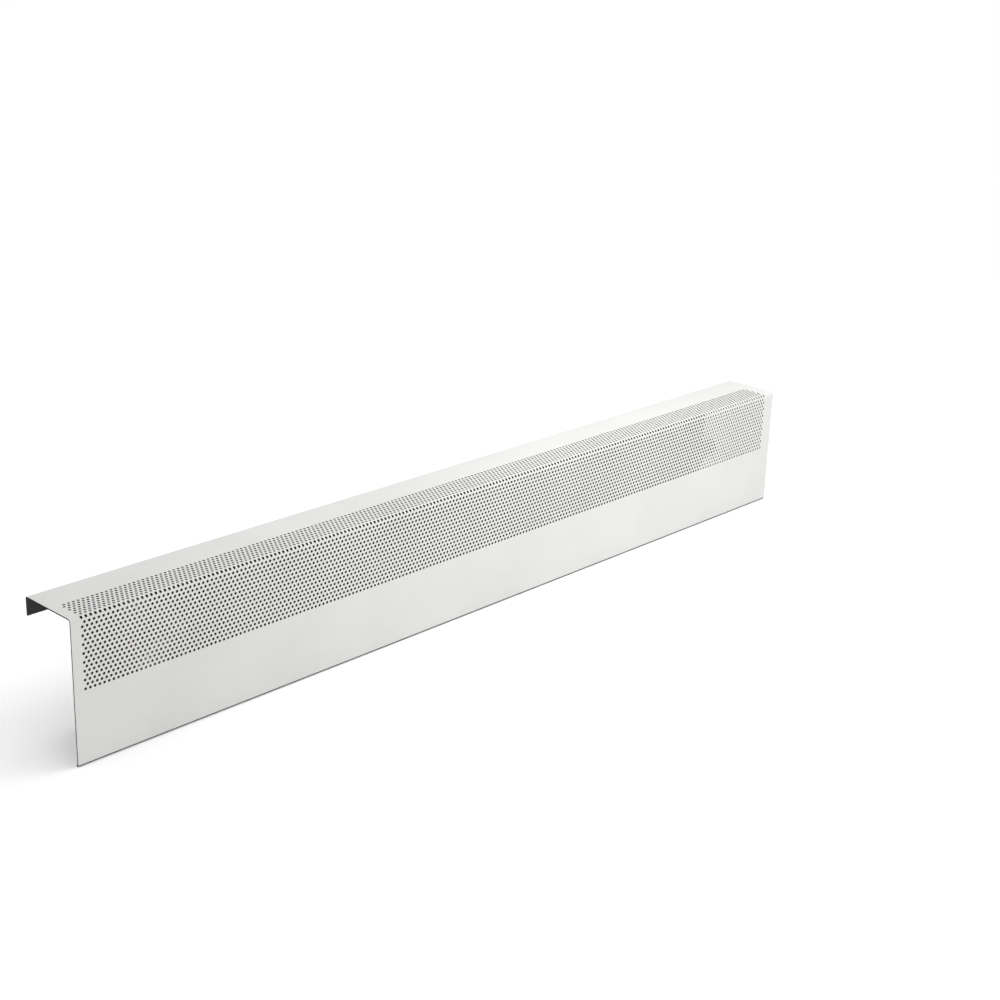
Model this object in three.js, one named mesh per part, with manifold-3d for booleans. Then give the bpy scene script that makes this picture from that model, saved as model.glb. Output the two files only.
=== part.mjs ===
// Hydronic baseboard heater: a perforated slip-on cover over a finned copper element on wall brackets.
// Millimetres, +X along the heater, -Y out of the wall into the room, +Z up.
// Heights are worked out above the heater's lower edge; the last group moves them so that the origin is
// the middle of the upper wall rib's rear face, on the wall plane.
import * as THREE from "three";
import { mergeVertices } from "three/addons/utils/BufferGeometryUtils.js";
import Module from "manifold-3d";

const wasm = await Module();
wasm.setup();

// Driving dimensions
const COVER_LENGTH = 1219.2;
const COVER_HEIGHT = 168;
const COVER_DEPTH = 82;
const PLATE_INSET = 57; // from each end of the cover to the back plate
const PLATE_LENGTH = COVER_LENGTH - 2 * PLATE_INSET;
const GAP = 0.3; // left between pieces that touch

// Sheet gauges
const COVER_SHEET = 1.5;
const PLATE_SHEET = 0.8;
const BRACKET_SHEET = 1.2;

// Cover
const COVER_FRONT_BEND = 5; // outside radius of the bend between front and top
const COVER_REAR_BEND = 2.5;
const COVER_WALL_GAP = 0.5; // air between the wall and the rear lip
const LIP_DROP = 22;
const HEM_HEIGHT = 10;
const HEM_OPENING = 0.3;
const HEM_RELIEF = 3; // the hem's inner leaf stops this far from each end

// Back plate, a rolled section whose two ribs touch the wall
const STAND_OFF = 2.4; // the plate's rear face stands this far off the wall between the ribs
const RIB_HEIGHT = 18;
const RIB_SLOPE = 3;
const UPPER_RIB = 130;
const LOWER_RIB = 31;
const HOOD_DEPTH = 26;
const HOOD_LIP = 6;
const FOOT_DEPTH = 14;
const FOOT_LIP = 5;
const PLATE_BASE = 0.5; // the plate's lower face above the cover's lower edge
const WALL_SLOT = { length: 14, width: 5.5 };
const WALL_SLOT_X = [-304.8, -101.6, 101.6, 304.8];

// Element: tube and three packs of fins, with bare tube over each bracket
const TUBE_Y = -40;
const TUBE_Z = 92;
const TUBE_RADIUS = 11.1;
const TUBE_WALL = 0.8;
const TUBE_LENGTH = 1040;
const BELL_LENGTH = 22;
const BELL_STEP = 0.9; // how much the socket end is opened out
const FIN_SIZE = 57;
const FIN_SHEET = 0.3;
const FIN_PITCH = 9;
const FINS_PER_PACK = 32;
const PACK_STEP = 320;
const COLLAR_SIDES = 8;
const COLLAR_WALL = 0.6;

// Brackets
const BRACKET_X = [-480, -160, 160, 480];
const BRACKET_WIDTH = 36;
const BRACKET_TOP = 150;
const ARM_Z = 56;
const ARM_END = -70;
const BRACKET_BEND = 3.5;
const RIVET_Z = { upper: 112, lower: 68 };
const RIVET_RADIUS = 1.8;
const RIVET_HEAD = 3.4;

// Expansion cradles, which clip round the tube and slide in slots in the bracket arms
const CRADLE_WIDTH = 20;
const CRADLE_TRAVEL = 6;
const CRADLE_WALL = 3.6;
const CRADLE_BASE = 4;
const CRADLE_FOOT = 42;
const CLIP_ANGLE = 20; // the clip's arms end this far above the tube's axis, in degrees
const LEG = { width: 8, thickness: 2.4, offset: 15, barb: 1.8, barbHeight: 2.2 };

// Cover bumpers
const BUMPER = { width: 16, height: 10, z: 8, stem: 2, head: 3.2, round: 3 };

// Stiffening bead pressed into a bracket's wall leg
const BEAD = { length: 16, radius: 5, height: 1.6, bevel: 1.4, z: 90 };

const MATERIALS = {
  cover: new THREE.MeshStandardMaterial({ color: 0xcbcbc9, roughness: 0.45, metalness: 0.0 }),
  plate: new THREE.MeshStandardMaterial({ color: 0x343434, roughness: 0.55, metalness: 0.0 }),
  bracket: new THREE.MeshStandardMaterial({ color: 0xa9adaf, roughness: 0.38, metalness: 0.9 }),
  rivet: new THREE.MeshStandardMaterial({ color: 0xc2c4c6, roughness: 0.3, metalness: 0.9 }),
  copper: new THREE.MeshStandardMaterial({ color: 0xa27963, roughness: 0.38, metalness: 1.0 }),
  fin: new THREE.MeshStandardMaterial({ color: 0xaeaeae, roughness: 0.45, metalness: 1.0 }),
  cradle: new THREE.MeshStandardMaterial({ color: 0xded8c8, roughness: 0.6, metalness: 0.0 }),
  bumper: new THREE.MeshStandardMaterial({ color: 0x2b2b2b, roughness: 0.8, metalness: 0.0 }),
};

// A three.js geometry as a manifold solid, for cutting and joining.
function solid(geometry) {
  const bare = geometry.clone();
  bare.deleteAttribute("normal");
  bare.deleteAttribute("uv");
  const merged = mergeVertices(bare, 1e-4);
  return new wasm.Manifold(
    new wasm.Mesh({
      numProp: 3,
      vertProperties: new Float32Array(merged.attributes.position.array),
      triVerts: new Uint32Array(merged.index.array),
    }),
  );
}

// A manifold solid back as a three.js geometry.
function geometryOf(made) {
  const mesh = made.getMesh();
  const geometry = new THREE.BufferGeometry();
  geometry.setAttribute("position", new THREE.BufferAttribute(new Float32Array(mesh.vertProperties), 3));
  geometry.setIndex(new THREE.BufferAttribute(new Uint32Array(mesh.triVerts), 1));
  geometry.computeVertexNormals();
  return geometry;
}

// The section of a bent sheet. Corners are [y, z, bend radius at the sheet's middle].
function sheetSection(corners, thickness, arcStep = Math.PI / 10) {
  const near = [];
  const far = [];
  const put = (point, normal) => {
    near.push(point.clone().addScaledVector(normal, thickness / 2));
    far.push(point.clone().addScaledVector(normal, -thickness / 2));
  };
  const points = corners.map(([y, z]) => new THREE.Vector2(y, z));
  const normalOf = (direction) => new THREE.Vector2(-direction.y, direction.x);
  points.forEach((point, i) => {
    const before = i > 0 ? point.clone().sub(points[i - 1]).normalize() : null;
    const after = i < points.length - 1 ? points[i + 1].clone().sub(point).normalize() : null;
    if (!before || !after) {
      put(point, normalOf(before ?? after));
      return;
    }
    const radius = corners[i][2];
    const turn = Math.atan2(before.cross(after), before.dot(after));
    const start = point.clone().addScaledVector(before, -radius * Math.tan(Math.abs(turn) / 2));
    const centre = start.clone().addScaledVector(normalOf(before), Math.sign(turn) * radius);
    const steps = Math.max(1, Math.ceil(Math.abs(turn) / arcStep));
    for (let k = 0; k <= steps; k++) {
      const normal = normalOf(before).rotateAround(new THREE.Vector2(), (turn * k) / steps);
      put(centre.clone().addScaledVector(normal, -Math.sign(turn) * radius), normal);
    }
  });
  return new THREE.Shape([...near, ...far.reverse()]);
}

// A section drawn in Y and Z, carried along X from x = start for the given length.
function alongX(shape, start, length, curveSegments = 12) {
  const geometry = new THREE.ExtrudeGeometry(shape, { depth: length, bevelEnabled: false, curveSegments });
  const yAxis = new THREE.Vector3(0, 1, 0);
  const zAxis = new THREE.Vector3(0, 0, 1);
  const xAxis = new THREE.Vector3(1, 0, 0);
  return geometry.applyMatrix4(new THREE.Matrix4().makeBasis(yAxis, zAxis, xAxis)).translate(start, 0, 0);
}

function box(sizeX, sizeY, sizeZ, x, y, z) {
  return new THREE.BoxGeometry(sizeX, sizeY, sizeZ).translate(x, y, z);
}

// A turned piece along Y: outline is [radius, y] from axis to axis.
function turnedAlongY(outline, sides, x, y, z) {
  const profile = outline.map(([radius, along]) => new THREE.Vector2(radius, along));
  return new THREE.LatheGeometry(profile, sides).translate(x, y, z);
}

// An oblong cutter through a sheet that faces Y, its long side along X.
function slotCutter(length, width, depth, x, y, z) {
  const half = (length - width) / 2;
  const shape = new THREE.Shape();
  shape.absarc(half, 0, width / 2, -Math.PI / 2, Math.PI / 2);
  shape.absarc(-half, 0, width / 2, Math.PI / 2, (3 * Math.PI) / 2);
  const geometry = new THREE.ExtrudeGeometry(shape, { depth, bevelEnabled: false, curveSegments: 6 });
  return geometry.rotateX(Math.PI / 2).translate(x, y + depth / 2, z);
}

// A round cutter through a sheet that faces Y.
function holeCutter(radius, x, y, z) {
  return turnedAlongY([[0, -4], [radius, -4], [radius, 4], [0, 4]], 12, x, y, z);
}

function mesh(name, geometry, material) {
  const made = new THREE.Mesh(geometry, material);
  made.name = name;
  return made;
}

// One sheet: rear lip, top, front, and a closed hem along the lower edge, its leaf cut back at the ends.
function coverPanel() {
  const half = COVER_SHEET / 2;
  const rear = -COVER_WALL_GAP - half;
  const top = COVER_HEIGHT - half;
  const front = -COVER_DEPTH + half;
  const hemRadius = (COVER_SHEET + HEM_OPENING) / 2;
  const corners = [
    [rear, COVER_HEIGHT - LIP_DROP],
    [rear, top, COVER_REAR_BEND - half],
    [front, top, COVER_FRONT_BEND - half],
    [front, half, hemRadius],
    [front + 2 * hemRadius, half, hemRadius],
    [front + 2 * hemRadius, HEM_HEIGHT],
  ];
  let made = solid(alongX(sheetSection(corners, COVER_SHEET), -COVER_LENGTH / 2, COVER_LENGTH));
  const leaf = COVER_SHEET + HEM_OPENING;
  const leafY = -COVER_DEPTH + COVER_SHEET + HEM_OPENING / 2 + leaf / 2;
  const leafZ = half + hemRadius + HEM_HEIGHT / 2;
  for (const end of [-COVER_LENGTH / 2, COVER_LENGTH / 2]) {
    made = made.subtract(solid(box(2 * HEM_RELIEF, leaf, HEM_HEIGHT, end, leafY, leafZ)));
  }
  return mesh("cover_panel", geometryOf(made), MATERIALS.cover);
}

// Middle of the back plate's sheet where it stands off the wall, and where a rib touches it.
const PLATE_OFF = -STAND_OFF - PLATE_SHEET / 2;
const PLATE_ON = -PLATE_SHEET / 2;

function ribCorners(centre) {
  const half = RIB_HEIGHT / 2;
  const bend = 1.5;
  return [
    [PLATE_OFF, centre + half + RIB_SLOPE, bend],
    [PLATE_ON, centre + half, bend],
    [PLATE_ON, centre - half, bend],
    [PLATE_OFF, centre - half - RIB_SLOPE, bend],
  ];
}

// The rolled back plate: hood, two wall ribs and a small foot flange, with wall slots and rivet holes.
function backPlate() {
  const bend = 2;
  const hoodTop = COVER_HEIGHT - COVER_SHEET - GAP - PLATE_SHEET / 2;
  const base = PLATE_BASE + PLATE_SHEET / 2;
  const corners = [
    [-HOOD_DEPTH, hoodTop - HOOD_LIP],
    [-HOOD_DEPTH, hoodTop, bend],
    [PLATE_OFF, hoodTop, bend],
    ...ribCorners(UPPER_RIB),
    ...ribCorners(LOWER_RIB),
    [PLATE_OFF, base, bend],
    [-FOOT_DEPTH, base, bend],
    [-FOOT_DEPTH, base + FOOT_LIP],
  ];
  const section = sheetSection(corners, PLATE_SHEET, Math.PI / 6);
  let made = solid(alongX(section, -PLATE_LENGTH / 2, PLATE_LENGTH));
  for (const x of WALL_SLOT_X) {
    for (const z of [UPPER_RIB, LOWER_RIB]) {
      made = made.subtract(solid(slotCutter(WALL_SLOT.length, WALL_SLOT.width, 10, x, PLATE_ON, z)));
    }
  }
  const hole = RIVET_RADIUS + GAP;
  for (const x of BRACKET_X) {
    for (const z of Object.values(RIVET_Z)) {
      made = made.subtract(solid(holeCutter(hole, x, PLATE_OFF, z)));
    }
  }
  return mesh("back_plate", geometryOf(made), MATERIALS.plate);
}

const LEG_Y = -STAND_OFF - PLATE_SHEET - GAP - BRACKET_SHEET / 2; // middle of a bracket's wall leg
const ARM_TOP = ARM_Z + BRACKET_SHEET / 2;

// The raised bead on a bracket's wall leg, its edge chamfered.
function beadAt(x) {
  const outline = new THREE.Shape();
  outline.absarc(0, BEAD.length / 2, BEAD.radius, 0, Math.PI);
  outline.absarc(0, -BEAD.length / 2, BEAD.radius, Math.PI, 2 * Math.PI);
  const overlap = 0.2;
  const geometry = new THREE.ExtrudeGeometry(outline, {
    depth: BRACKET_SHEET / 2 + overlap,
    bevelThickness: BEAD.height - overlap,
    bevelSize: BEAD.bevel,
    bevelOffset: -BEAD.bevel,
    bevelSegments: 2,
    curveSegments: 6,
  });
  return geometry.translate(0, 0, -overlap).rotateX(Math.PI / 2).translate(x, LEG_Y, BEAD.z);
}

// A strap bent into a wall leg, a level arm and a front leg, with slots for the cradle's legs.
function bracket(index, x) {
  const corners = [
    [LEG_Y, BRACKET_TOP],
    [LEG_Y, ARM_Z, BRACKET_BEND],
    [ARM_END, ARM_Z, BRACKET_BEND],
    [ARM_END, 2.5],
  ];
  const section = sheetSection(corners, BRACKET_SHEET, Math.PI / 8);
  let made = solid(alongX(section, x - BRACKET_WIDTH / 2, BRACKET_WIDTH));

  const clip = solid(box(BRACKET_WIDTH, 10, 80, x, LEG_Y - 5, BEAD.z));
  made = made.add(solid(beadAt(x)).intersect(clip));

  const slotLength = LEG.width + 2 * CRADLE_TRAVEL + 1;
  const slotWidth = LEG.thickness + 2 * GAP + 0.1;
  for (const side of [-1, 1]) {
    const slot = box(slotLength, slotWidth, 6, x, TUBE_Y + side * LEG.offset, ARM_Z);
    made = made.subtract(solid(slot));
  }
  const rivetHole = RIVET_RADIUS + GAP;
  for (const z of Object.values(RIVET_Z)) {
    made = made.subtract(solid(holeCutter(rivetHole, x, LEG_Y, z)));
  }
  made = made.subtract(solid(holeCutter(BUMPER.stem + GAP, x, ARM_END, BUMPER.z)));
  return mesh(`bracket_${index}`, geometryOf(made), MATERIALS.bracket);
}

// A rivet that holds a bracket's wall leg to the back plate, domed in front and upset behind.
function rivet(name, x, z) {
  const front = LEG_Y - BRACKET_SHEET / 2 - GAP;
  const rear = -STAND_OFF + GAP;
  const outline = [
    [0, front - 1.5],
    [RIVET_HEAD * 0.55, front - 1.25],
    [RIVET_HEAD * 0.9, front - 0.7],
    [RIVET_HEAD, front],
    [RIVET_RADIUS, front],
    [RIVET_RADIUS, rear],
    [RIVET_HEAD * 0.8, rear],
    [RIVET_HEAD * 0.8, rear + 0.8],
    [0, rear + 0.8],
  ];
  return mesh(name, turnedAlongY(outline, 14, x, 0, z), MATERIALS.rivet);
}

// The copper tube, with a socket opened out at its right-hand end.
function elementTube() {
  const half = TUBE_LENGTH / 2;
  const bore = TUBE_RADIUS - TUBE_WALL;
  const bellStart = half - BELL_LENGTH;
  const outline = [
    [bore, -half],
    [TUBE_RADIUS, -half],
    [TUBE_RADIUS, bellStart - 3],
    [TUBE_RADIUS + BELL_STEP, bellStart],
    [TUBE_RADIUS + BELL_STEP, half],
    [bore + BELL_STEP, half],
    [bore + BELL_STEP, bellStart],
    [bore, bellStart - 3],
    [bore, -half],
  ];
  const profile = outline.map(([radius, along]) => new THREE.Vector2(radius, along));
  const turned = new THREE.LatheGeometry(profile, 32).rotateZ(-Math.PI / 2).translate(0, TUBE_Y, TUBE_Z);
  return mesh("element_tube", turned, MATERIALS.copper);
}

// A regular prism along X, its flats at the given distance from the tube's axis.
function prismAlongX(apothem, start, length) {
  const radius = apothem / Math.cos(Math.PI / COLLAR_SIDES);
  const shape = new THREE.Shape();
  for (let k = 0; k < COLLAR_SIDES; k++) {
    const angle = ((k + 0.5) * 2 * Math.PI) / COLLAR_SIDES;
    shape[k ? "lineTo" : "moveTo"](TUBE_Y + radius * Math.cos(angle), TUBE_Z + radius * Math.sin(angle));
  }
  return alongX(shape, start, length);
}

// Square fins on touching collars, which make one sleeve over the tube.
function finPack(name, centre) {
  const length = (FINS_PER_PACK - 1) * FIN_PITCH;
  const first = centre - length / 2;
  const bore = TUBE_RADIUS + GAP;
  const fins = [];
  for (let k = 0; k < FINS_PER_PACK; k++) {
    fins.push(solid(box(FIN_SHEET, FIN_SIZE, FIN_SIZE, first + k * FIN_PITCH, TUBE_Y, TUBE_Z)));
  }
  const collars = prismAlongX(bore + COLLAR_WALL, first - 1, length + 2);
  const hollow = prismAlongX(bore, first - 5, length + 10);
  const made = wasm.Manifold.union([...fins, solid(collars)]).subtract(solid(hollow));
  return mesh(name, geometryOf(made), MATERIALS.fin);
}

// A moulded cradle: a clip round the underside of the tube, a foot on the arm and two snap legs.
function cradle(index, x) {
  const base = ARM_TOP + GAP - TUBE_Z; // underside of the foot, from the tube's axis
  const inner = TUBE_RADIUS + GAP;
  const outer = inner + CRADLE_WALL;
  const stem = 5;
  const low = Math.asin(stem / outer);
  const end = THREE.MathUtils.degToRad(CLIP_ANGLE);
  const shape = new THREE.Shape();
  shape.moveTo(-CRADLE_FOOT / 2, base);
  shape.lineTo(CRADLE_FOOT / 2, base);
  shape.lineTo(CRADLE_FOOT / 2, base + CRADLE_BASE);
  shape.lineTo(stem + 4, base + CRADLE_BASE);
  shape.lineTo(stem, base + CRADLE_BASE + 5);
  shape.absarc(0, 0, outer, -Math.PI / 2 + low, end, false);
  shape.absarc(0, 0, inner, end, Math.PI - end, true);
  shape.absarc(0, 0, outer, Math.PI - end, (3 * Math.PI) / 2 - low, false);
  shape.lineTo(-stem, base + CRADLE_BASE + 5);
  shape.lineTo(-stem - 4, base + CRADLE_BASE);
  shape.lineTo(-CRADLE_FOOT / 2, base + CRADLE_BASE);
  let made = solid(alongX(shape, x - CRADLE_WIDTH / 2, CRADLE_WIDTH, 12));
  for (const side of [-1, 1]) {
    const inside = side * (LEG.offset - LEG.thickness / 2);
    const outside = side * (LEG.offset + LEG.thickness / 2);
    const tip = side * (LEG.offset + LEG.thickness / 2 + LEG.barb);
    const under = ARM_Z - BRACKET_SHEET / 2 - GAP - TUBE_Z;
    const points = [
      [inside, base + 1],
      [outside, base + 1],
      [outside, under],
      [tip, under],
      [outside, under - LEG.barbHeight],
      [inside, under - LEG.barbHeight],
    ];
    if (side > 0) points.reverse();
    const leg = new THREE.Shape(points.map(([y, z]) => new THREE.Vector2(y, z)));
    made = made.add(solid(alongX(leg, x - LEG.width / 2, LEG.width)));
  }
  const geometry = geometryOf(made).translate(0, TUBE_Y, TUBE_Z);
  return mesh(`cradle_${index}`, geometry, MATERIALS.cradle);
}

// A push-in bumper on a bracket's front leg, which holds the cover's hem off the steel.
function coverBumper(index, x) {
  const face = ARM_END - BRACKET_SHEET / 2 - GAP;
  const nose = -COVER_DEPTH + 2 * COVER_SHEET + HEM_OPENING + GAP;
  const depth = face - nose;
  const rear = ARM_END + BRACKET_SHEET / 2 + GAP;
  const block = new THREE.Shape();
  const round = BUMPER.round;
  block.moveTo(face, BUMPER.z - BUMPER.height / 2);
  block.lineTo(face, BUMPER.z + BUMPER.height / 2);
  block.lineTo(nose + round, BUMPER.z + BUMPER.height / 2);
  block.absarc(nose + round, BUMPER.z + BUMPER.height / 2 - round, round, Math.PI / 2, Math.PI, false);
  block.absarc(nose + round, BUMPER.z - BUMPER.height / 2 + round, round, Math.PI, (3 * Math.PI) / 2, false);
  const stem = [
    [0, face - depth / 2],
    [BUMPER.stem, face - depth / 2],
    [BUMPER.stem, rear],
    [BUMPER.head, rear],
    [BUMPER.stem * 0.6, rear + 2.6],
    [0, rear + 2.6],
  ];
  const made = solid(alongX(block, x - BUMPER.width / 2, BUMPER.width, 4)).add(
    solid(turnedAlongY(stem, 12, x, 0, BUMPER.z)),
  );
  return mesh(`cover_bumper_${index}`, geometryOf(made), MATERIALS.bumper);
}

const heater = new THREE.Group();
heater.position.z = -UPPER_RIB;
heater.add(coverPanel(), backPlate(), elementTube());
["left", "middle", "right"].forEach((side, k) => {
  heater.add(finPack(`fin_pack_${side}`, (k - 1) * PACK_STEP));
});
BRACKET_X.forEach((x, k) => {
  heater.add(bracket(k + 1, x), cradle(k + 1, x), coverBumper(k + 1, x));
  for (const [place, z] of Object.entries(RIVET_Z)) {
    heater.add(rivet(`rivet_${k + 1}_${place}`, x, z));
  }
});

const part = new THREE.Group();
part.add(heater);

export default part;
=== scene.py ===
"""Looks for the hydronic baseboard heater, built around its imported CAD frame. Metres, +Z up."""

import math

import bpy
import numpy as np
from mathutils import Matrix, Vector
from mathutils.geometry import delaunay_2d_cdt


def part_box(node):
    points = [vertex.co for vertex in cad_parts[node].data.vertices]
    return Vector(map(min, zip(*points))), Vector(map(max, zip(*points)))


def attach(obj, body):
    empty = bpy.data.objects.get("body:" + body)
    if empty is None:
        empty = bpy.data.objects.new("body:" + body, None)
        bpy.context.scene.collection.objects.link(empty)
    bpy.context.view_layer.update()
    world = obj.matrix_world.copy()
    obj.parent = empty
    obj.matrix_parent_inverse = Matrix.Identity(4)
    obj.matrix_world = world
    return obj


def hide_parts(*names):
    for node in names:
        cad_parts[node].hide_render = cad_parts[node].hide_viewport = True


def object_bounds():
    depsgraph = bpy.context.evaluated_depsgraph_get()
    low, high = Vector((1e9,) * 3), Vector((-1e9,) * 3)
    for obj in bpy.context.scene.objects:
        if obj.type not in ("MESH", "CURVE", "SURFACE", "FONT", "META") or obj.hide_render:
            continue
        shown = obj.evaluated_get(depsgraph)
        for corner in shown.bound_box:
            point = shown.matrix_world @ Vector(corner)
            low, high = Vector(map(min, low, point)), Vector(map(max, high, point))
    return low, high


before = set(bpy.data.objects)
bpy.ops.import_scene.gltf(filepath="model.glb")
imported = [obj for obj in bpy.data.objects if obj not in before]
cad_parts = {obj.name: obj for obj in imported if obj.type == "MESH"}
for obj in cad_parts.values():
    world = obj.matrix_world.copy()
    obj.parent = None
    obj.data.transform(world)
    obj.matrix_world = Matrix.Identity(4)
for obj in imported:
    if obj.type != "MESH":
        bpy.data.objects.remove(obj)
cad_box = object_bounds()
MM = 0.001
NEAR = 0.001  # places closer than this are one, in millimetres
ROUNDING = 1e-9  # allowance for rounding in developed lengths, in millimetres
INSET = 0.02  # a turned piece's radius stays this far inside its CAD node, in millimetres
ON_AXIS = 1e-6  # a smaller radius is a point on the axis, in millimetres

# Cover sheet, in millimetres
SHEET = 1.5
FRONT_BEND = 5.0
REAR_BEND = 2.5
HEM_OPENING = 0.3
HEM_HEIGHT = 10.0
HEM_RELIEF = 3.0  # the hem's inner leaf stops this far from each end
LIP_HEIGHT = 22.0

# Perforation, in millimetres
HOLE_DIAMETER = 3.2
HOLE_SIDES = 8
HOLES_PER_ROW = 206
HOLE_ROWS = 24
FIRST_ROW_HEIGHT = 86.3  # above the cover's lower edge
LEFT_MARGIN = 13.8  # from the cover's left end to the middle of the first hole
RIGHT_MARGIN = 22.8  # from the middle of the last hole to the cover's right end
HOLE_CLEARANCE = 0.5  # no line crosses the sheet closer than this to the holes
MERGE = 1e-6  # triangulated points closer than this are one
RING_REACH = 1.001  # a corner within this many radii of a hole's middle is on its ring

# Element and rivets, in millimetres
FIN_SHEET = 0.3
FIN_PITCH = 5.5
FIN_CORNER = 4.0
FIN_MARGIN = 6.0
FIN_EDGE_FOLD = 0.5
FIN_ANGLES = 48
FIN_INSET = 0.2  # from a fin's edge to the side of its CAD node
FIN_CENTRE = 1.5  # about the middle of a fin's depth, from its flat
FIN_LEAN = 0.25  # most that one tilt moves the middle of a fin's side; the two curls move it less
COLLAR_RADIUS = 11.4
TUBE_SIDES = 96
RIVET_SIDES = 40
RIVET_SHANK = 1.8
RIVET_COLLAR = 1.5
RIVET_UPSET = 0.8

# Shading: noise values that a colour or roughness runs between, angles in degrees, edge rounds in metres
NOISE_LOW = 0.3
NOISE_HIGH = 0.7
SHARP_ANGLE = 30.0
COVER_SHARP_ANGLE = 35.0
FIN_SHARP_ANGLE = 50.0
ROUNDED_ANGLE = 40.0
SHEET_EDGE = 0.00015
MOULDED_EDGE = 0.0004

# Camera and light: places and sizes in metres, power in watts
CAMERA_PLACE = (-1.4997, -1.4931, 0.7798)
CAMERA_ANGLES = (-47.144, 20.311, 1.998)  # azimuth, elevation and roll, in degrees
CAMERA_LENS = 63.18  # this and the sensor's width are in millimetres
SENSOR_WIDTH = 36.0
WORLD_STRENGTH = 1.0
KEY_PLACE = (0.33, -0.32, 0.55)
KEY_TARGET = (0.28, -0.06, 0.0)
KEY_SIZE = (1.0, 0.35)
KEY_POWER = 3.3
FLOOR_REACH = 30.0
FLOOR_DROP = 0.0005  # from the heater's lowest point to the floor
FLOOR_GLOW = 0.06


# ---------------------------------------------------------------- materials


def new_material(name, colour, roughness, metallic=0.0):
    """A material with its Principled shader, and the node tree to add to."""
    material = bpy.data.materials.new(name)
    material.use_nodes = True
    tree = material.node_tree
    shader = tree.nodes["Principled BSDF"]
    shader.inputs["Base Color"].default_value = (*colour, 1.0)
    shader.inputs["Roughness"].default_value = roughness
    shader.inputs["Metallic"].default_value = metallic
    return material, tree, shader


def noise(tree, scale, detail=4.0, stretch=(1.0, 1.0, 1.0)):
    """Noise in object coordinates, stretched along the axes."""
    coordinates = tree.nodes.new("ShaderNodeTexCoord")
    mapping = tree.nodes.new("ShaderNodeMapping")
    mapping.inputs["Scale"].default_value = stretch
    texture = tree.nodes.new("ShaderNodeTexNoise")
    texture.inputs["Scale"].default_value = scale
    texture.inputs["Detail"].default_value = detail
    tree.links.new(coordinates.outputs["Object"], mapping.inputs["Vector"])
    tree.links.new(mapping.outputs["Vector"], texture.inputs["Vector"])
    return texture.outputs["Fac"]


def remap(tree, value, low, high):
    """A noise value, spread over low to high."""
    node = tree.nodes.new("ShaderNodeMapRange")
    node.inputs["From Min"].default_value = NOISE_LOW
    node.inputs["From Max"].default_value = NOISE_HIGH
    node.inputs["To Min"].default_value = low
    node.inputs["To Max"].default_value = high
    tree.links.new(value, node.inputs["Value"])
    return node.outputs["Result"]


def vary_colour(tree, shader, value, dark, light):
    """Base colour between two colours, by the value."""
    ramp = tree.nodes.new("ShaderNodeValToRGB")
    ramp.color_ramp.elements[0].position = NOISE_LOW
    ramp.color_ramp.elements[0].color = (*dark, 1.0)
    ramp.color_ramp.elements[1].position = NOISE_HIGH
    ramp.color_ramp.elements[1].color = (*light, 1.0)
    tree.links.new(value, ramp.inputs["Fac"])
    tree.links.new(ramp.outputs["Color"], shader.inputs["Base Color"])


def bump(tree, shader, height, distance, strength):
    """Fine relief from the height, its distance in metres."""
    node = tree.nodes.new("ShaderNodeBump")
    node.inputs["Distance"].default_value = distance
    node.inputs["Strength"].default_value = strength
    tree.links.new(height, node.inputs["Height"])
    tree.links.new(node.outputs["Normal"], shader.inputs["Normal"])


def powder_coat():
    """Off-white powder coat: fine orange peel, slow drift in tone and gloss."""
    material, tree, shader = new_material("powder_coat", (0.60, 0.60, 0.586), 0.45)
    vary_colour(tree, shader, noise(tree, 9.0), (0.58, 0.58, 0.565), (0.62, 0.62, 0.606))
    tree.links.new(remap(tree, noise(tree, 40.0), 0.40, 0.52), shader.inputs["Roughness"])
    bump(tree, shader, noise(tree, 1400.0, 2.0), 0.00004, 0.5)
    return material


def inside_painted_shade():
    """Near-black on the cover's inner face: painted shade inside the cover."""
    material, tree, shader = new_material("inner_painted_shade", (0.045, 0.045, 0.045), 0.7)
    vary_colour(tree, shader, noise(tree, 30.0), (0.035, 0.035, 0.035), (0.06, 0.06, 0.058))
    tree.links.new(remap(tree, noise(tree, 120.0), 0.6, 0.8), shader.inputs["Roughness"])
    bump(tree, shader, noise(tree, 900.0, 3.0), 0.00004, 0.5)
    return material


def dark_edges_and_painted_shade():
    """Near-black finish of cut edges, hole walls and the fold under the lower edge; on the hole walls
    and the fold it is painted shade.
    """
    material, tree, shader = new_material("dark_edge_and_painted_shade", (0.02, 0.02, 0.02), 0.7)
    shader.inputs["Specular IOR Level"].default_value = 0.1
    vary_colour(tree, shader, noise(tree, 300.0), (0.012, 0.012, 0.012), (0.03, 0.03, 0.029))
    tree.links.new(remap(tree, noise(tree, 500.0), 0.6, 0.8), shader.inputs["Roughness"])
    bump(tree, shader, noise(tree, 2500.0, 3.0, (1.0, 1.0, 0.2)), 0.00005, 0.6)
    return material


def black_plate_painted_shade():
    """Matt black on the rolled plate, slightly uneven in tone; its near-black is painted shade behind
    the perforation.
    """
    material, tree, shader = new_material("black_plate_painted_shade", (0.035, 0.035, 0.035), 0.55)
    vary_colour(tree, shader, noise(tree, 60.0, 6.0), (0.030, 0.030, 0.030), (0.041, 0.040, 0.039))
    tree.links.new(remap(tree, noise(tree, 70.0), 0.45, 0.7), shader.inputs["Roughness"])
    bump(tree, shader, noise(tree, 1100.0, 2.0), 0.00004, 0.5)
    return material


def zinc(name, scale):
    """Bright zinc plate, brushed a little along X."""
    material, tree, shader = new_material(name, (0.57, 0.59, 0.60), 0.38, 0.95)
    grain = noise(tree, scale, 5.0, (0.15, 1.0, 1.0))
    vary_colour(tree, shader, grain, (0.50, 0.52, 0.53), (0.64, 0.655, 0.66))
    tree.links.new(remap(tree, grain, 0.30, 0.48), shader.inputs["Roughness"])
    bump(tree, shader, grain, 0.00003, 0.5)
    return material


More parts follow.
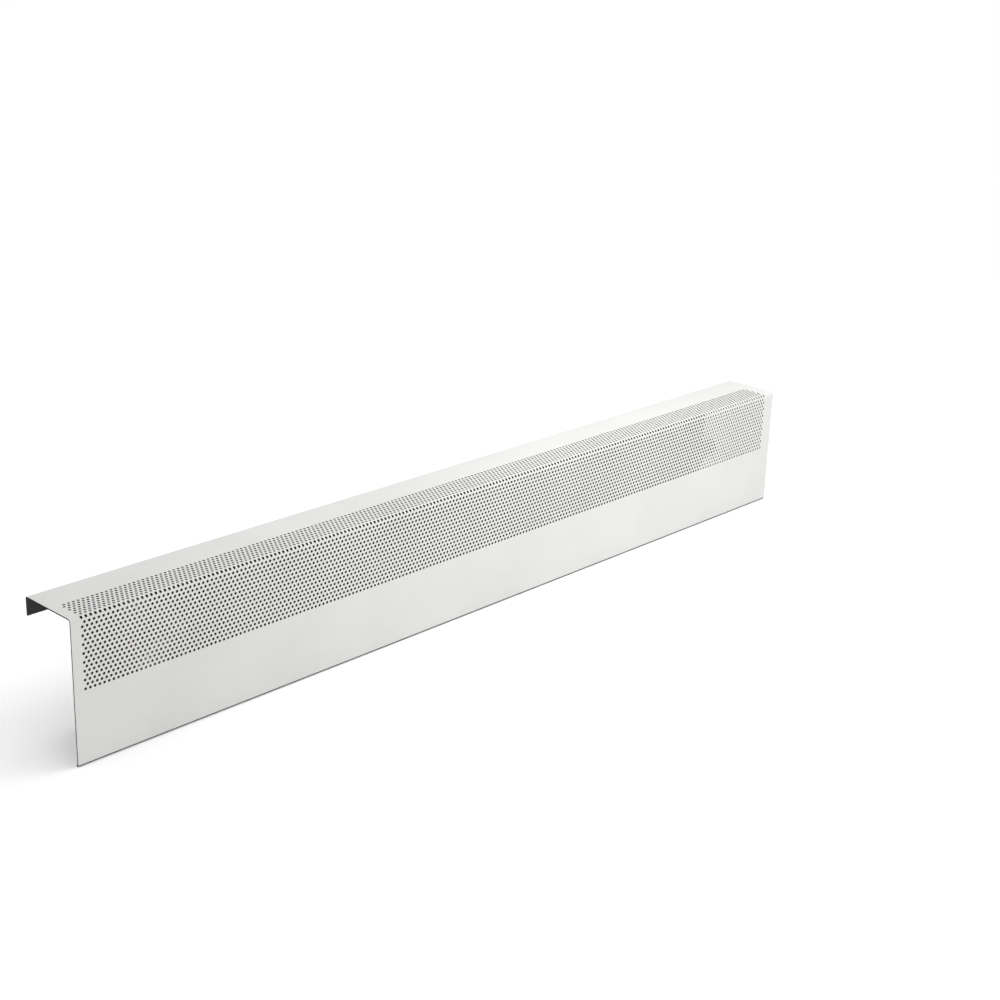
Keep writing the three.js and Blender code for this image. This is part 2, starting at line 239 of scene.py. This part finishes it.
def drawn_copper():
    """Copper tube, uneven in tone and kept dark as painted shade inside the heater, with drawing lines
    along it.
    """
    material, tree, shader = new_material("drawn_copper", (0.36, 0.19, 0.125), 0.38, 0.95)
    vary_colour(tree, shader, noise(tree, 22.0, 6.0), (0.20, 0.105, 0.07), (0.50, 0.27, 0.175))
    lines = noise(tree, 1500.0, 2.0, (0.02, 1.0, 1.0))
    tree.links.new(remap(tree, noise(tree, 60.0), 0.34, 0.6), shader.inputs["Roughness"])
    bump(tree, shader, lines, 0.00002, 0.5)
    return material


def mill_aluminium():
    """Thin fin stock, rolled up and down, kept dull and dark as painted shade inside the heater."""
    material, tree, shader = new_material("fin_aluminium", (0.42, 0.42, 0.42), 0.45, 0.95)
    grain = noise(tree, 900.0, 4.0, (1.0, 1.0, 0.08))
    vary_colour(tree, shader, noise(tree, 45.0), (0.35, 0.35, 0.345), (0.48, 0.48, 0.475))
    tree.links.new(remap(tree, grain, 0.42, 0.6), shader.inputs["Roughness"])
    bump(tree, shader, grain, 0.00002, 0.5)
    return material


def moulded(name, dark, light, scale, roughness):
    """A moulded piece with a fine mould texture."""
    material, tree, shader = new_material(name, light, roughness)
    vary_colour(tree, shader, noise(tree, scale), dark, light)
    tree.links.new(
        remap(tree, noise(tree, scale * 3), roughness - 0.08, roughness + 0.08),
        shader.inputs["Roughness"],
    )
    bump(tree, shader, noise(tree, 1800.0, 3.0), 0.00005, 0.6)
    return material


# ---------------------------------------------------------------- mesh helpers


def mesh_object(name, vertices, faces, materials, face_materials=None, smooth_angle=SHARP_ANGLE):
    """A mesh piece, smooth-shaded except across edges sharper than the angle."""
    mesh = bpy.data.meshes.new(name)
    mesh.from_pydata(vertices, [], faces)
    for material in materials:
        mesh.materials.append(material)
    if face_materials is not None:
        mesh.polygons.foreach_set("material_index", face_materials)
    mesh.polygons.foreach_set("use_smooth", [True] * len(mesh.polygons))
    mesh.update()
    mesh.set_sharp_from_angle(angle=math.radians(smooth_angle))
    piece = bpy.data.objects.new(name, mesh)
    bpy.context.scene.collection.objects.link(piece)
    return piece


def dress(node, material, bevel=0.0):
    """A CAD node keeps its shape and takes a material, smooth shading and, if asked, an edge round."""
    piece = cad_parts[node]
    piece.data.materials.clear()
    piece.data.materials.append(material)
    piece.data.polygons.foreach_set("use_smooth", [True] * len(piece.data.polygons))
    piece.data.set_sharp_from_angle(angle=math.radians(SHARP_ANGLE))
    if bevel:
        rounding = piece.modifiers.new("edge_round", "BEVEL")
        rounding.width = bevel
        rounding.segments = 2
        rounding.limit_method = "ANGLE"
        rounding.angle_limit = math.radians(ROUNDED_ANGLE)
        rounding.use_clamp_overlap = True


# ---------------------------------------------------------------- cover


class BentSheet:
    """The cover's section as a path: a developed length s and an offset t give a place."""

    def __init__(self, corners):
        self.pieces = []
        self.length = 0.0
        place = Vector(corners[0][:2])
        for i in range(1, len(corners)):
            corner = Vector(corners[i][:2])
            direction = (corner - place).normalized()
            if i == len(corners) - 1:
                self.add_line(place, corner)
                break
            following = (Vector(corners[i + 1][:2]) - corner).normalized()
            radius = corners[i][2]
            turn = math.atan2(
                direction.x * following.y - direction.y * following.x, direction.dot(following)
            )
            start = corner - direction * radius * math.tan(abs(turn) / 2)
            self.add_line(place, start)
            normal = Vector((-direction.y, direction.x))
            centre = start + normal * math.copysign(radius, turn)
            self.pieces.append(("arc", self.length, centre, radius, turn, start - centre))
            self.length += radius * abs(turn)
            place = corner + following * radius * math.tan(abs(turn) / 2)

    def add_line(self, start, end):
        if (end - start).length > NEAR:
            self.pieces.append(("line", self.length, start, end - start))
            self.length += (end - start).length

    def breaks(self, arc_step=math.radians(15)):
        """Developed lengths where a line or a facet of a bend begins or ends."""
        marks = [0.0]
        for piece in self.pieces:
            if piece[0] == "line":
                marks.append(piece[1] + piece[3].length)
            else:
                count = max(1, math.ceil(abs(piece[4]) / arc_step))
                marks += [piece[1] + piece[3] * abs(piece[4]) * (k + 1) / count for k in range(count)]
        return marks

    def at(self, s, t):
        """(y, z) for an array of developed lengths, at an offset to the left of the path."""
        s = np.clip(s, 0.0, self.length)
        y, z = np.zeros_like(s), np.zeros_like(s)
        for i, piece in enumerate(self.pieces):
            last = i == len(self.pieces) - 1
            end = self.length if last else self.pieces[i + 1][1]
            inside = (s >= piece[1] - ROUNDING) & ((s <= end) if last else (s < end - ROUNDING))
            along = s[inside] - piece[1]
            if piece[0] == "line":
                unit = piece[3].normalized()
                y[inside] = piece[2].x + unit.x * along - unit.y * t
                z[inside] = piece[2].y + unit.y * along + unit.x * t
            else:
                _, _, centre, radius, turn, arm = piece
                sign = math.copysign(1, turn)
                angle = sign * along / radius
                scale = (radius - sign * t) / radius
                y[inside] = centre.x + scale * (arm.x * np.cos(angle) - arm.y * np.sin(angle))
                z[inside] = centre.y + scale * (arm.x * np.sin(angle) + arm.y * np.cos(angle))
        return y, z


def cover_sheet(paint, inside, edge):
    """The cover, perforated in the flat and folded over its section."""
    low, high = (np.array(c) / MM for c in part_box("cover_panel"))
    half = SHEET / 2
    front, rear = low[1] + half, high[1] - half
    base, top = low[2] + half, high[2] - half
    lip_end = high[2] - LIP_HEIGHT
    hem = (SHEET + HEM_OPENING) / 2
    path = BentSheet([
        (front + 2 * hem, low[2] + HEM_HEIGHT),
        (front + 2 * hem, base, hem),
        (front, base, hem),
        (front, top, FRONT_BEND - half),
        (rear, top, REAR_BEND - half),
        (rear, lip_end),
    ])
    leaf_end, front_start = path.pieces[1][1], path.pieces[3][1]
    first_row = front_start + (low[2] + FIRST_ROW_HEIGHT - path.pieces[3][2].y)
    pitch = (high[0] - low[0] - LEFT_MARGIN - RIGHT_MARGIN) / (HOLES_PER_ROW - 1)
    row_step = pitch * math.sqrt(3) / 2

    centres = []
    for row in range(HOLE_ROWS):
        odd = row % 2
        for k in range(HOLES_PER_ROW - odd):
            centres.append((low[0] + LEFT_MARGIN + (k + odd / 2) * pitch, first_row + row * row_step))
    centres = np.array(centres)
    angles = (np.arange(HOLE_SIDES) + 0.5) * 2 * math.pi / HOLE_SIDES
    round_area = math.pi * (HOLE_DIAMETER / 2) ** 2
    radius = math.sqrt(round_area / (HOLE_SIDES / 2 * math.sin(2 * math.pi / HOLE_SIDES)))
    ring = radius * np.stack([np.cos(angles), np.sin(angles)], 1)
    rings = (centres[:, None, :] + ring[None]).reshape(-1, 2)
    count = len(rings)
    base_index = np.arange(len(centres))[:, None] * HOLE_SIDES
    step = np.arange(HOLE_SIDES)[None]
    loops = np.stack([base_index + step, base_index + (step + 1) % HOLE_SIDES], -1).reshape(-1, 2)

    last_row = first_row + (HOLE_ROWS - 1) * row_step
    marks = sorted(path.breaks())
    reach = radius + HOLE_CLEARANCE
    clear = [s for s in marks if s < first_row - reach or s > last_row + reach]
    flat_points = [*map(tuple, rings)]
    edges = [*map(tuple, loops.tolist())]
    for s in clear:
        cut = HEM_RELIEF if s < leaf_end - NEAR else 0.0
        flat_points += [(low[0] + cut, s), (high[0] - cut, s)]
        edges.append((len(flat_points) - 2, len(flat_points) - 1))
    within = [s for s in marks if s not in clear]
    bend_low, bend_high = min(within), max(within)
    for s in within:
        flat_points += [(low[0], s), (high[0], s)]
    for side in (0, 1):
        ids = [i for i in range(count, len(flat_points)) if (i - count) % 2 == side]
        ids.sort(key=lambda i: flat_points[i][1])
        leaf_low, leaf_high, *rest = ids
        flat_points.append((flat_points[leaf_low][0], flat_points[leaf_high][1]))
        edges.append((leaf_low, len(flat_points) - 1))
        edges += list(zip([leaf_high, *rest], rest))
    # Points between the holes let the sheet follow the bend.
    for row in range(HOLE_ROWS - 1):
        s = first_row + (row + 0.5) * row_step
        if bend_low - row_step < s < bend_high + row_step:
            for k in range(2 * HOLES_PER_ROW - 2):
                up = (k + row) % 2
                x = low[0] + LEFT_MARGIN + (k / 2 + 0.5) * pitch
                flat_points.append((x, s + row_step / 6 * (1 if up else -1)))

    made = delaunay_2d_cdt([Vector(p) for p in flat_points], edges, [], 0, MERGE)
    points = np.array([tuple(p) for p in made[0]])
    triangles = np.array([f for f in made[2] if len(f) == 3])
    middle = points[triangles].mean(1)
    row = np.clip(np.rint((middle[:, 1] - first_row) / row_step), 0, HOLE_ROWS - 1)
    shift = (row % 2) / 2
    along = (middle[:, 0] - low[0] - LEFT_MARGIN) / pitch - shift
    k = np.clip(np.rint(along), 0, HOLES_PER_ROW - 1 - row % 2)
    near = np.stack([low[0] + LEFT_MARGIN + (k + shift) * pitch, first_row + row * row_step], 1)
    in_hole = np.linalg.norm(middle - near, axis=1) < radius * math.cos(math.pi / HOLE_SIDES)
    corners = points[triangles]
    on_ring = np.linalg.norm(corners - near[:, None], axis=2).max(1) < radius * RING_REACH
    past_leaf = (middle[:, 1] < leaf_end) & (
        (middle[:, 0] < low[0] + HEM_RELIEF) | (middle[:, 0] > high[0] - HEM_RELIEF)
    )
    triangles = triangles[~(in_hole & on_ring | past_leaf)]
    a, b, c = (points[triangles[:, i]] for i in range(3))
    cross = (b[:, 0] - a[:, 0]) * (c[:, 1] - a[:, 1]) - (b[:, 1] - a[:, 1]) * (c[:, 0] - a[:, 0])
    triangles[cross < 0] = triangles[cross < 0][:, ::-1]

    total = len(points)
    sides = {}
    for t in (half, -half):
        y, z = path.at(points[:, 1], t)
        sides[t] = np.stack([points[:, 0], y, z], 1)
    vertices = np.concatenate([sides[half], sides[-half]]) * MM
    directed = np.concatenate([triangles[:, [0, 1]], triangles[:, [1, 2]], triangles[:, [2, 0]]])
    present = set(map(tuple, directed.tolist()))
    rim = [(i, j) for i, j in directed.tolist() if (j, i) not in present]

    inner = triangles[:, ::-1] + total
    faces = triangles.tolist() + inner.tolist()
    developed = points[triangles][:, :, 1].mean(1)
    # The fold under the lower edge is dark, like every cut edge and hole wall: painted shade on the fold
    # and in the holes.
    tags = np.where((developed > leaf_end) & (developed < front_start), 2, 0).tolist()
    # Inner faces take the near-black inside colour, painted shade; rim faces, the cut ends and hole
    # walls, take the near-black finish.
    tags += [1] * len(inner) + [2] * len(rim)
    faces += [(j, i, i + total, j + total) for i, j in rim]
    finishes = [paint, inside, edge]
    piece = mesh_object("cover_sheet", vertices.tolist(), faces, finishes, tags, COVER_SHARP_ANGLE)
    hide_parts("cover_panel")
    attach(piece, "cover")


# ---------------------------------------------------------------- element


def square_ring(half, corner, count):
    """Points of a round-cornered square, one for each of count even angles, as (y, z) offsets."""
    points = []
    for k in range(count):
        angle = 2 * math.pi * k / count
        c, s = abs(math.cos(angle)), abs(math.sin(angle))
        reach = half / max(c, s)
        if min(c, s) * reach > half - corner:
            centre = half - corner
            along = centre * (c + s)
            reach = along + math.sqrt(along * along - 2 * centre * centre + corner * corner)
        points.append((reach * math.cos(angle), reach * math.sin(angle)))
    return np.array(points)


def fin_pack(node, material, seed):
    """Thin fins with drawn collars, a folded edge and the small bends of handling."""
    random = np.random.default_rng(seed)
    low, high = (np.array(c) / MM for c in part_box(node))
    middle = (low + high) / 2
    half = (high[1] - low[1]) / 2
    count = round((high[0] - low[0] - FIN_MARGIN) / FIN_PITCH) + 1
    first = middle[0] - (count - 1) * FIN_PITCH / 2
    around = FIN_ANGLES
    angles = 2 * np.pi * np.arange(around) / around
    circle = np.stack([np.cos(angles), np.sin(angles)], 1)
    square = square_ring(half - FIN_INSET, FIN_CORNER, around)
    rings = [
        (circle * (COLLAR_RADIUS + 0.9), 3.1),
        (circle * (COLLAR_RADIUS + 0.25), 2.8),
        (circle * COLLAR_RADIUS, 2.4),
        (circle * COLLAR_RADIUS, 0.8),
        (circle * (COLLAR_RADIUS + 0.3), 0.2),
        (circle * (COLLAR_RADIUS + 1.0), 0.0),
        (circle * (COLLAR_RADIUS + 4.0), 0.0),
        (circle * (COLLAR_RADIUS + 4.6), 0.45),
        (circle * (COLLAR_RADIUS + 5.6), 0.45),
        (circle * (COLLAR_RADIUS + 6.2), 0.0),
        (square * 0.93, 0.0),
        (square, FIN_EDGE_FOLD),
    ]
    vertices, faces = [], []
    for k in range(count):
        start = len(vertices)
        lean = random.uniform(-FIN_LEAN, FIN_LEAN, 4)
        for side in (0.0, FIN_SHEET):
            for ring, rise in rings:
                reach = np.linalg.norm(ring, axis=1) / half
                bend = reach**2 * (
                    lean[0] * ring[:, 0] / half + lean[1] * ring[:, 1] / half
                    + lean[2] * 0.5 * np.cos(2 * angles) + lean[3] * 0.3 * np.sin(3 * angles)
                )
                x = first + k * FIN_PITCH - FIN_CENTRE + rise + side + bend
                vertices += np.stack([x, middle[1] + ring[:, 0], middle[2] + ring[:, 1]], 1).tolist()
        rows = len(rings)
        for side in (0, 1):
            for r in range(rows - 1):
                a = start + (side * rows + r) * around
                for j in range(around):
                    n = (j + 1) % around
                    face = (a + j, a + n, a + around + n, a + around + j)
                    faces.append(face[::-1] if side else face)
        for r in (0, rows - 1):
            a, b = start + r * around, start + (rows + r) * around
            for j in range(around):
                n = (j + 1) % around
                face = (a + j, a + n, b + n, b + j)
                faces.append(face if r else face[::-1])
    places = (np.array(vertices) * MM).tolist()
    piece = mesh_object(node + "_fins", places, faces, [material], None, FIN_SHARP_ANGLE)
    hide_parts(node)
    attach(piece, "element")


def turned(name, outline, axis, place, sides, material, closed=False):
    """A turned piece: outline is (radius, along) in millimetres about the axis through place."""
    vertices, faces, rings = [], [], []
    for radius, along in outline:
        if radius < ON_AXIS:
            rings.append([len(vertices)])
            vertices.append((0.0, 0.0, along))
            continue
        rings.append(list(range(len(vertices), len(vertices) + sides)))
        for k in range(sides):
            angle = 2 * math.pi * k / sides
            vertices.append((radius * math.cos(angle), radius * math.sin(angle), along))
    pairs = list(zip(rings, rings[1:])) + ([(rings[-1], rings[0])] if closed else [])
    for a, b in pairs:
        for k in range(sides):
            n = (k + 1) % sides
            if len(a) == 1:
                faces.append((a[0], b[n], b[k]))
            elif len(b) == 1:
                faces.append((a[k], a[n], b[0]))
            else:
                faces.append((a[k], a[n], b[n], b[k]))
    turn = Vector((0, 0, 1)).rotation_difference(Vector(axis)).to_matrix().to_4x4()
    move = Matrix.Translation(Vector(place)) @ turn
    points = [tuple((move @ Vector(v)) * MM) for v in vertices]
    return mesh_object(name, points, faces, [material])


def element_tube(material):
    """The copper tube, its ends deburred and its socket opened out with a soft shoulder."""
    low, high = (np.array(c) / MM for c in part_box("element_tube"))
    place = (low + high) / 2
    half = (high[0] - low[0]) / 2
    bell = (high[2] - low[2]) / 2 - INSET
    outside, wall, socket, burr = bell - 0.9, 0.8, 22.0, 0.25
    shoulder = half - socket
    profile = [(0.0, -4.0), (0.06, -3.2), (0.25, -2.4), (0.5, -1.6), (0.75, -0.9), (0.9, 0.0)]
    outer = [(outside - burr, -half), (outside, -half + burr)]
    outer += [(outside + rise, shoulder + along) for rise, along in profile]
    outer += [(bell, half - burr), (bell - burr, half)]
    inner = [(bell - wall, half)]
    inner += [(outside - wall + rise, shoulder + along) for rise, along in reversed(profile)]
    inner += [(outside - wall, -half)]
    piece = turned("tube_copper", outer + inner, (1, 0, 0), place, TUBE_SIDES, material, closed=True)
    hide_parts("element_tube")
    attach(piece, "element")


def rivet(node, material):
    """A domed blind rivet with its stem end, and the upset behind."""
    low, high = (np.array(c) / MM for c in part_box(node))
    place = ((low[0] + high[0]) / 2, 0.0, (low[2] + high[2]) / 2)
    head = min(high[0] - low[0], high[2] - low[2]) / 2 - INSET
    front, rear = low[1], high[1]
    collar, shank, upset = RIVET_COLLAR, RIVET_SHANK, RIVET_UPSET
    outline = [
        (0.0, front + 0.25), (0.7, front + 0.25), (0.75, front + 0.05), (1.0, front),
        (head * 0.5, front + 0.15), (head * 0.8, front + 0.5), (head * 0.95, front + 0.95),
        (head, front + collar - 0.2), (head - 0.1, front + collar), (shank, front + collar),
        (shank, rear - upset), (head * 0.72, rear - upset), (head * 0.8, rear - 0.5),
        (head * 0.72, rear - 0.1), (head * 0.5, rear), (0.0, rear),
    ]
    piece = turned(node + "_turned", outline, (0, 1, 0), place, RIVET_SIDES, material)
    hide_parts(node)
    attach(piece, "wall_unit")


# ---------------------------------------------------------------- stage


def stage_floor():
    """A pale floor under the heater."""
    low, _ = cad_box
    size = FLOOR_REACH
    material, tree, shader = new_material("pale_floor", (0.95, 0.95, 0.95), 0.9)
    vary_colour(tree, shader, noise(tree, 3.0), (0.94, 0.94, 0.94), (0.96, 0.96, 0.96))
    shader.inputs["Emission Color"].default_value = (1, 1, 1, 1)
    shader.inputs["Emission Strength"].default_value = FLOOR_GLOW
    corners = [(-size, -size), (size, -size), (size, size), (-size, size)]
    vertices = [(x, y, low.z - FLOOR_DROP) for x, y in corners]
    floor = mesh_object("floor", vertices, [(0, 1, 2, 3)], [material])


def area_light(name, place, target, size, power):
    """A soft rectangular light aimed at the target, unseen by the camera."""
    data = bpy.data.lights.new(name, "AREA")
    data.shape = "RECTANGLE"
    data.size, data.size_y = size
    data.energy = power
    light = bpy.data.objects.new(name, data)
    light.location = place
    aim = Vector(target) - Vector(place)
    light.rotation_mode = "QUATERNION"
    light.rotation_quaternion = aim.to_track_quat("-Z", "Y")
    light.visible_camera = False
    bpy.context.scene.collection.objects.link(light)


def studio():
    """A white world, and a soft light close over the middle and right of the heater."""
    world = bpy.data.worlds.new("studio")
    world.use_nodes = True
    world.node_tree.nodes["Background"].inputs["Color"].default_value = (1, 1, 1, 1)
    world.node_tree.nodes["Background"].inputs["Strength"].default_value = WORLD_STRENGTH
    bpy.context.scene.world = world
    area_light("key", KEY_PLACE, KEY_TARGET, KEY_SIZE, KEY_POWER)
    bpy.context.scene.view_settings.view_transform = "Standard"


def photo_camera():
    """The camera, aimed by azimuth, elevation and roll."""
    data = bpy.data.cameras.new("camera")
    data.sensor_width = SENSOR_WIDTH
    data.lens = CAMERA_LENS
    camera = bpy.data.objects.new("camera", data)
    azimuth, elevation, roll = (math.radians(a) for a in CAMERA_ANGLES)
    back = Vector((
        math.sin(azimuth) * math.cos(elevation),
        -math.cos(azimuth) * math.cos(elevation),
        math.sin(elevation),
    ))
    aim = (-back).to_track_quat("-Z", "Y").to_matrix() @ Matrix.Rotation(roll, 3, "Z")
    camera.matrix_world = Matrix.Translation(CAMERA_PLACE) @ aim.to_4x4()
    bpy.context.scene.collection.objects.link(camera)
    bpy.context.scene.camera = camera


# ---------------------------------------------------------------- the heater

photo_camera()
studio()
stage_floor()

cover_sheet(powder_coat(), inside_painted_shade(), dark_edges_and_painted_shade())
copper = drawn_copper()
aluminium = mill_aluminium()
plated = zinc("rivet_zinc", 500.0)
element_tube(copper)
for seed, side in enumerate(("left", "middle", "right")):
    fin_pack("fin_pack_" + side, aluminium, seed)

bracket_zinc = zinc("bracket_zinc", 260.0)
nylon = moulded("cradle_nylon", (0.78, 0.74, 0.66), (0.86, 0.83, 0.76), 60.0, 0.5)
rubber = moulded("bumper_rubber", (0.03, 0.03, 0.03), (0.055, 0.055, 0.055), 80.0, 0.75)
# The back plate's near-black is painted shade seen through the perforation.
dress("back_plate", black_plate_painted_shade())
for k in range(1, 5):
    dress(f"bracket_{k}", bracket_zinc, SHEET_EDGE)
    dress(f"cradle_{k}", nylon, MOULDED_EDGE)
    dress(f"cover_bumper_{k}", rubber, MOULDED_EDGE)
    for place in ("upper", "lower"):
        rivet(f"rivet_{k}_{place}", plated)
